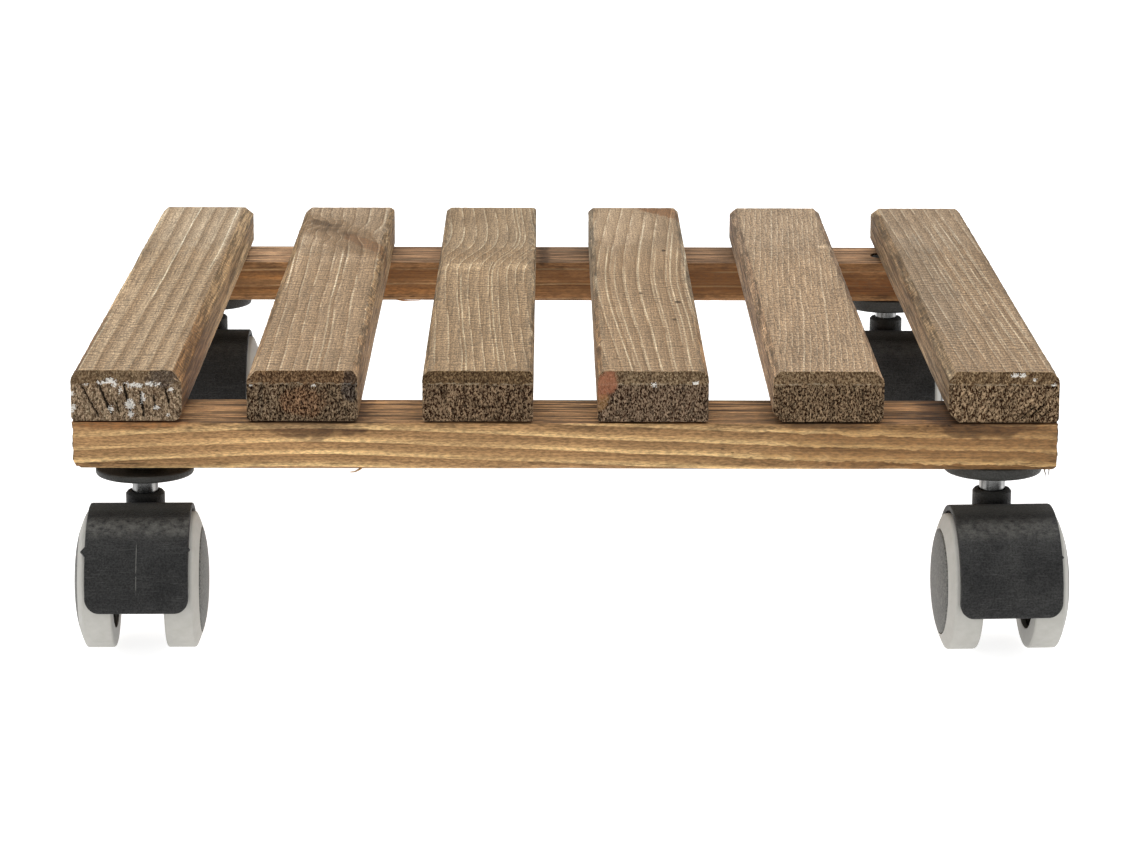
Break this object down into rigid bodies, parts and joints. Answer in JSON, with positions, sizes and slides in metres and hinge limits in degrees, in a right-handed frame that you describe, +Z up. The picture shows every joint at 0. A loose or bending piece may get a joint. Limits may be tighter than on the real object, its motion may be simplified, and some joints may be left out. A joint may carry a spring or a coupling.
{
  "type": "plant pot caddy",
  "caption": "Square slatted wooden plant pot caddy on swivelling twin-wheel casters with black hoods and soft grey treads.",
  "frame": {"origin": "on the floor, under the centre of the bounding box", "axes": "+Z up, +Y along the slats towards the rear, +X across the slats to the right. The casters' hoods face the front, -Y."},
  "size_m": [0.305, 0.3242, 0.0855],
  "materials": {
    "slat_wood": "weathered grey-brown sawn softwood",
    "rail_wood": "golden-brown stained softwood",
    "steel": "bright zinc-plated",
    "black_plastic": "satin moulded nylon",
    "grey_plastic": "fine-textured moulded plastic",
    "grey_rubber": "smooth soft tread"
  },
  "bodies": {
    "deck": {"slat_1": "slat_wood", "slat_2": "slat_wood", "slat_3": "slat_wood", "slat_4": "slat_wood", "slat_5": "slat_wood", "slat_6": "slat_wood", "front_rail": "rail_wood", "rear_rail": "rail_wood", "front_screw_1": "steel", "front_screw_2": "steel", "front_screw_3": "steel", "front_screw_4": "steel", "front_screw_5": "steel", "front_screw_6": "steel", "rear_screw_1": "steel", "rear_screw_2": "steel", "rear_screw_3": "steel", "rear_screw_4": "steel", "rear_screw_5": "steel", "rear_screw_6": "steel", "front_left_sleeve": "black_plastic", "front_left_stem": "steel", "front_left_grip_ring": "steel", "front_right_sleeve": "black_plastic", "front_right_stem": "steel", "front_right_grip_ring": "steel", "rear_left_sleeve": "black_plastic", "rear_left_stem": "steel", "rear_left_grip_ring": "steel", "rear_right_sleeve": "black_plastic", "rear_right_stem": "steel", "rear_right_grip_ring": "steel"},
    "front_left_caster": {"front_left_housing": "black_plastic", "front_left_axle": "steel"},
    "front_left_left_wheel": {"front_left_left_core": "grey_plastic", "front_left_left_tread": "grey_rubber"},
    "front_left_right_wheel": {"front_left_right_core": "grey_plastic", "front_left_right_tread": "grey_rubber"},
    "front_right_caster": {"front_right_housing": "black_plastic", "front_right_axle": "steel"},
    "front_right_left_wheel": {"front_right_left_core": "grey_plastic", "front_right_left_tread": "grey_rubber"},
    "front_right_right_wheel": {"front_right_right_core": "grey_plastic", "front_right_right_tread": "grey_rubber"},
    "rear_left_caster": {"rear_left_housing": "black_plastic", "rear_left_axle": "steel"},
    "rear_left_left_wheel": {"rear_left_left_core": "grey_plastic", "rear_left_left_tread": "grey_rubber"},
    "rear_left_right_wheel": {"rear_left_right_core": "grey_plastic", "rear_left_right_tread": "grey_rubber"},
    "rear_right_caster": {"rear_right_housing": "black_plastic", "rear_right_axle": "steel"},
    "rear_right_left_wheel": {"rear_right_left_core": "grey_plastic", "rear_right_left_tread": "grey_rubber"},
    "rear_right_right_wheel": {"rear_right_right_core": "grey_plastic", "rear_right_right_tread": "grey_rubber"}
  },
  "joints": [
    {"name": "front_left_swivel", "type": "hinge", "parent": "deck", "child": "front_left_caster", "pos_m": [-0.13054, -0.12088, 0.0453], "axis": [0, 0, 1], "continuous": true},
    {"name": "front_left_left_spin", "type": "hinge", "parent": "front_left_caster", "child": "front_left_left_wheel", "pos_m": [-0.14224, -0.13808, 0.0208], "axis": [0.9998, 0.0175, 0], "continuous": true},
    {"name": "front_left_right_spin", "type": "hinge", "parent": "front_left_caster", "child": "front_left_right_wheel", "pos_m": [-0.11824, -0.13767, 0.0208], "axis": [0.9998, 0.0175, 0], "continuous": true},
    {"name": "front_right_swivel", "type": "hinge", "parent": "deck", "child": "front_right_caster", "pos_m": [0.13106, -0.12088, 0.0453], "axis": [0, 0, 1], "continuous": true},
    {"name": "front_right_left_spin", "type": "hinge", "parent": "front_right_caster", "child": "front_right_left_wheel", "pos_m": [0.12012, -0.13858, 0.0208], "axis": [0.9981, 0.061, 0], "continuous": true},
    {"name": "front_right_right_spin", "type": "hinge", "parent": "front_right_caster", "child": "front_right_right_wheel", "pos_m": [0.14408, -0.13711, 0.0208], "axis": [0.9981, 0.061, 0], "continuous": true},
    {"name": "rear_left_swivel", "type": "hinge", "parent": "deck", "child": "rear_left_caster", "pos_m": [-0.13234, 0.14512, 0.0453], "axis": [0, 0, 1], "continuous": true},
    {"name": "rear_left_left_spin", "type": "hinge", "parent": "rear_left_caster", "child": "rear_left_left_wheel", "pos_m": [-0.14434, 0.12812, 0.0208], "axis": [1, 0, 0], "continuous": true},
    {"name": "rear_left_right_spin", "type": "hinge", "parent": "rear_left_caster", "child": "rear_left_right_wheel", "pos_m": [-0.12034, 0.12812, 0.0208], "axis": [1, 0, 0], "continuous": true},
    {"name": "rear_right_swivel", "type": "hinge", "parent": "deck", "child": "rear_right_caster", "pos_m": [0.12046, 0.14512, 0.0453], "axis": [0, 0, 1], "continuous": true},
    {"name": "rear_right_left_spin", "type": "hinge", "parent": "rear_right_caster", "child": "rear_right_left_wheel", "pos_m": [0.10831, 0.12823, 0.0208], "axis": [1, -0.0087, 0], "continuous": true},
    {"name": "rear_right_right_spin", "type": "hinge", "parent": "rear_right_caster", "child": "rear_right_right_wheel", "pos_m": [0.13231, 0.12802, 0.0208], "axis": [1, -0.0087, 0], "continuous": true}
  ]
}
